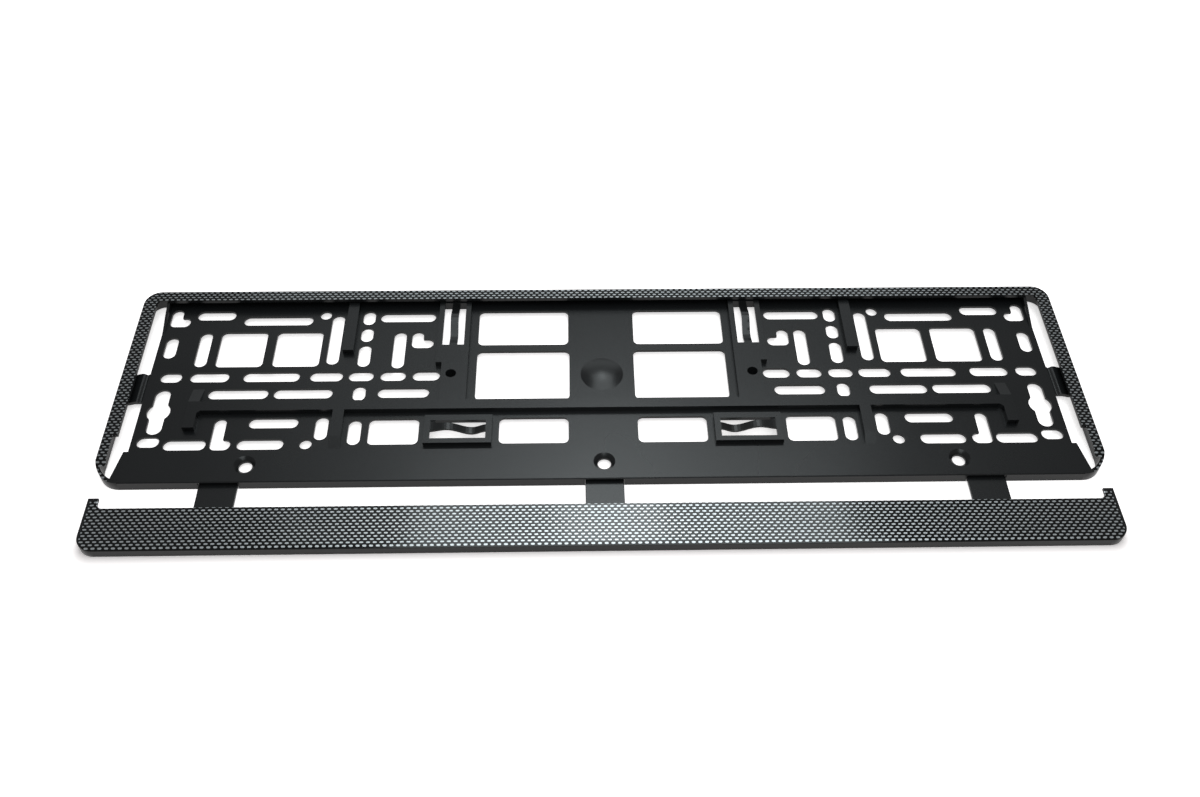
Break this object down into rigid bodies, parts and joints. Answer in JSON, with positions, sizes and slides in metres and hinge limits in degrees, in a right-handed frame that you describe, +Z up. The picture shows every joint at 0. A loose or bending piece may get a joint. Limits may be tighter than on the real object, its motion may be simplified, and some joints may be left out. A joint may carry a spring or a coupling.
{
  "type": "number plate holder",
  "caption": "Flat holder for a long car number plate: perforated base with a raised rim, ribs and wavy springs, and the clip-on cover strip laid in front of its open bottom edge.",
  "frame": {"origin": "middle of the bottom of the box round the base and the strip, on the surface that both lie on", "axes": "+X along the plate, to the right; +Y from the strip towards the top rim; +Z up from the surface, the side that the plate goes in"},
  "size_m": [0.5332, 0.1762, 0.0115],
  "materials": {
    "base_frame": "satin black, moulded, with a printed weave on the rim",
    "cover_strip": "clear-coated printed weave of pale dashes on dark grey"
  },
  "bodies": {
    "root": {"base_frame": "base_frame", "cover_strip": "cover_strip"}
  },
  "joints": []
}
